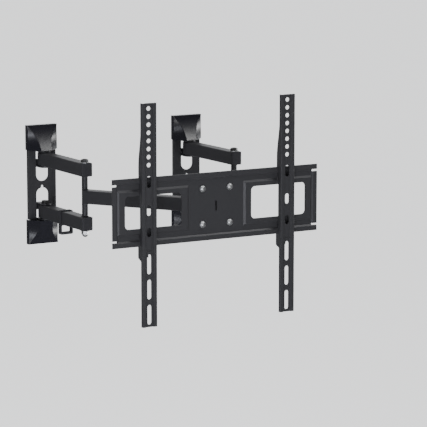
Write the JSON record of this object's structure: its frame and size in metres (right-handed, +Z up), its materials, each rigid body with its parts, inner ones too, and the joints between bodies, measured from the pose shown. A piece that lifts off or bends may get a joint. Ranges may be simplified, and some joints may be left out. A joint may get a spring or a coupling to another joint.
{
  "type": "full motion television wall mount",
  "caption": "Articulated wall mount with folding arm pairs on screwed wall brackets, a swivelling and tilting head, a windowed plate and slotted sliding rails for a television.",
  "frame": {"origin": "centre of the left wall bracket, on the wall", "axes": "+X along the wall towards the right bracket, +Y into the wall, +Z up; the screen side is -Y"},
  "size_m": [0.436, 0.4325, 0.42],
  "materials": {
    "black_coat": "black powder coat, fine orange-peel texture, satin",
    "plate_coat": "black powder coat on pressed sheet, satin",
    "gloss_cover": "moulded glossy black plastic",
    "black_plastic": "moulded black plastic, satin",
    "nylon": "dark nylon",
    "black_bolts": "black oxide steel",
    "zinc": "bright zinc plate"
  },
  "bodies": {
    "left_wall": {"left_wall_bracket": "black_coat", "left_upper_cover": "gloss_cover", "left_lower_cover": "gloss_cover", "left_wall_pivot_bolts": "black_bolts", "left_wall_bushes": "nylon"},
    "left_arms": {"left_upper_arm": "black_coat", "left_lower_arm": "black_coat", "left_arm_caps": "black_plastic", "left_cable_clip": "black_plastic", "left_elbow_bolt": "black_bolts", "left_elbow_washers": "zinc", "left_elbow_cap_nut": "zinc", "left_elbow_bushes": "nylon"},
    "left_reach": {"left_forearm": "black_coat"},
    "head": {"head_bracket": "black_coat", "head_pivot_bolts": "black_bolts", "head_pivot_nuts": "zinc", "head_bushes": "nylon", "tilt_pivot_bolts": "black_bolts", "tilt_pivot_nuts": "zinc", "tilt_lock_bolts": "black_bolts", "tilt_knobs": "black_plastic"},
    "plate": {"tilt_frame": "black_coat", "plate_nuts": "zinc", "tv_plate": "plate_coat", "plate_bolts": "zinc"},
    "left_hanger": {"left_rail": "plate_coat", "left_rail_screw": "zinc"},
    "right_hanger": {"right_rail": "plate_coat", "right_rail_screw": "zinc"},
    "right_reach": {"right_forearm": "black_coat"},
    "right_arms": {"right_upper_arm": "black_coat", "right_lower_arm": "black_coat", "right_arm_caps": "black_plastic", "right_cable_clip": "black_plastic", "right_elbow_bolt": "black_bolts", "right_elbow_washers": "zinc", "right_elbow_cap_nut": "zinc", "right_elbow_bushes": "nylon"},
    "right_wall": {"right_wall_bracket": "black_coat", "right_upper_cover": "gloss_cover", "right_lower_cover": "gloss_cover", "right_wall_pivot_bolts": "black_bolts", "right_wall_bushes": "nylon"}
  },
  "joints": [
    {"name": "left_wall_swing", "type": "hinge", "parent": "left_wall", "child": "left_arms", "pos_m": [0, -0.021, 0], "axis": [0, 0, 1], "range_deg": [-34.9, 16.5]},
    {"name": "left_elbow_fold", "type": "hinge", "parent": "left_arms", "child": "left_reach", "pos_m": [0.01071, -0.18665, 0], "axis": [0, 0, -1], "range_deg": [-87, 34.2]},
    {"name": "head_left_swivel", "type": "hinge", "parent": "left_reach", "child": "head", "pos_m": [0.14524, -0.35946, 0], "axis": [0, 0, 1], "range_deg": [-52.1, 17.7]},
    {"name": "plate_tilt", "type": "hinge", "parent": "head", "child": "plate", "pos_m": [0.17524, -0.39546, 0.016], "axis": [1, 0, 0], "range_deg": [-5, 15]},
    {"name": "left_rail_slide", "type": "slide", "parent": "plate", "child": "left_hanger", "axis": [-1, 0, 0], "range_m": [-0.047, 0.053]},
    {"name": "right_rail_slide", "type": "slide", "parent": "plate", "child": "right_hanger", "axis": [1, 0, 0], "range_m": [-0.047, 0.053]},
    {"name": "head_right_swivel", "type": "hinge", "parent": "head", "child": "right_reach", "pos_m": [0.20524, -0.35946, 0], "axis": [0, 0, 1], "range_deg": [-52.2, 17.6]},
    {"name": "right_elbow_fold", "type": "hinge", "parent": "right_reach", "child": "right_arms", "pos_m": [0.33951, -0.18645, 0], "axis": [0, 0, -1], "range_deg": [-78.7, 42.5]},
    {"name": "right_wall_swing", "type": "hinge", "parent": "right_arms", "child": "right_wall", "pos_m": [0.326, -0.021, 0], "axis": [0, 0, 1], "range_deg": [-26.5, 24.9]}
  ]
}
